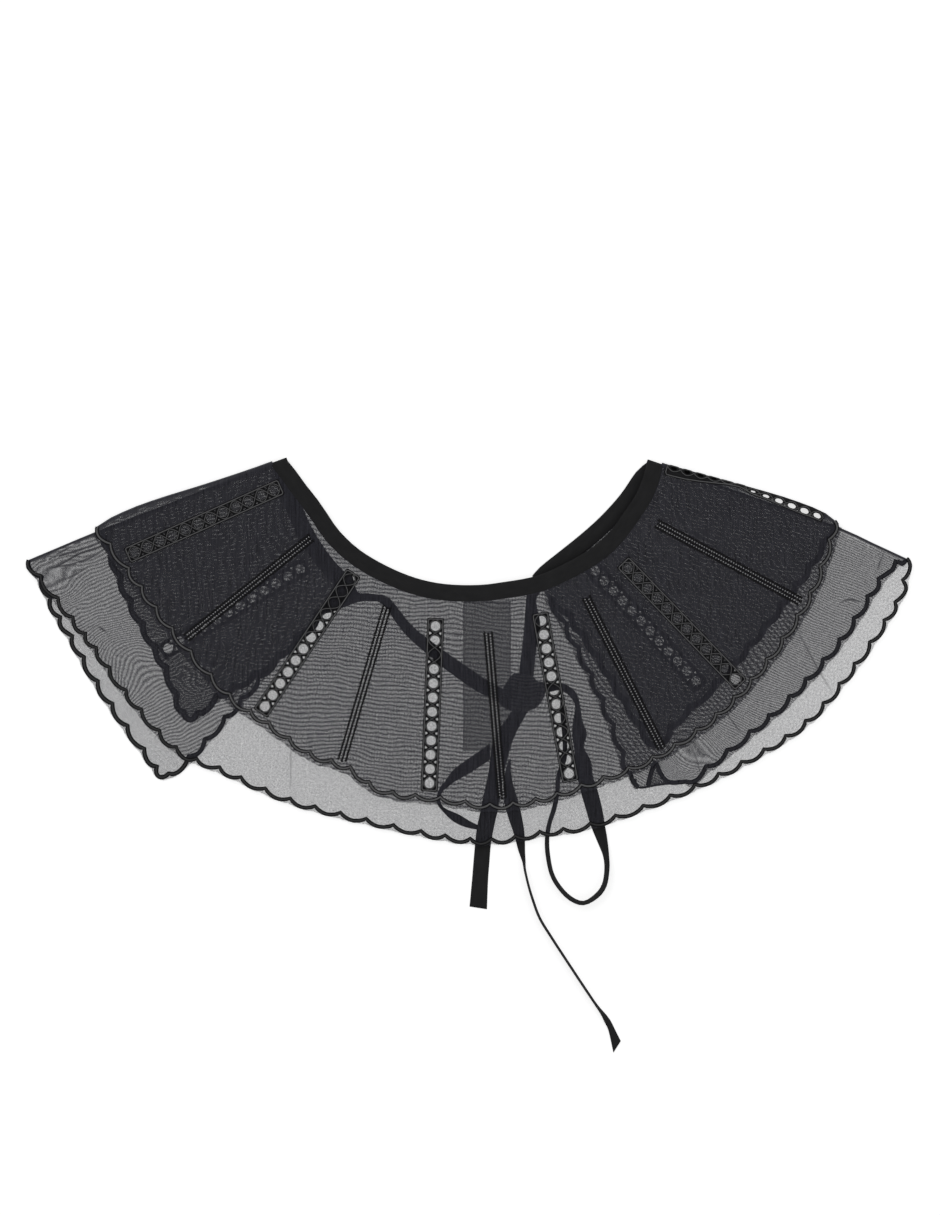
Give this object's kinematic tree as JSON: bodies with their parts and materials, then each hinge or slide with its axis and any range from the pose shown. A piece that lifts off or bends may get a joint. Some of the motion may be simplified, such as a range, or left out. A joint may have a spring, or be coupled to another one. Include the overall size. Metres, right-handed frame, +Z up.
{
  "type": "detachable collar",
  "caption": "Tiered sheer cape collar with scalloped corded edges, openwork strips and a tie bow, laid flat with both ends folded behind.",
  "frame": {"origin": "middle of the collar's footprint, on the table it lies on", "axes": "+X towards the collar's right end as seen from above, +Y from the hem towards the neckline, +Z up from the table towards the collar's face"},
  "size_m": [0.5557, 0.3761, 0.0084],
  "materials": {
    "organza": "sheer black organza",
    "binding_cloth": "matt black plain weave",
    "label_tape": "smooth black tape"
  },
  "bodies": {
    "root": {"upper_tier": "organza", "lower_tier": "organza", "neck_binding": "binding_cloth", "care_label": "label_tape", "bow_knot": "binding_cloth", "tie_lead_left": "binding_cloth", "tie_lead_right": "binding_cloth", "bow_loop_right": "binding_cloth", "bow_loop_left": "binding_cloth", "tie_tail_wide": "binding_cloth", "tie_tail_narrow": "binding_cloth"}
  },
  "joints": []
}
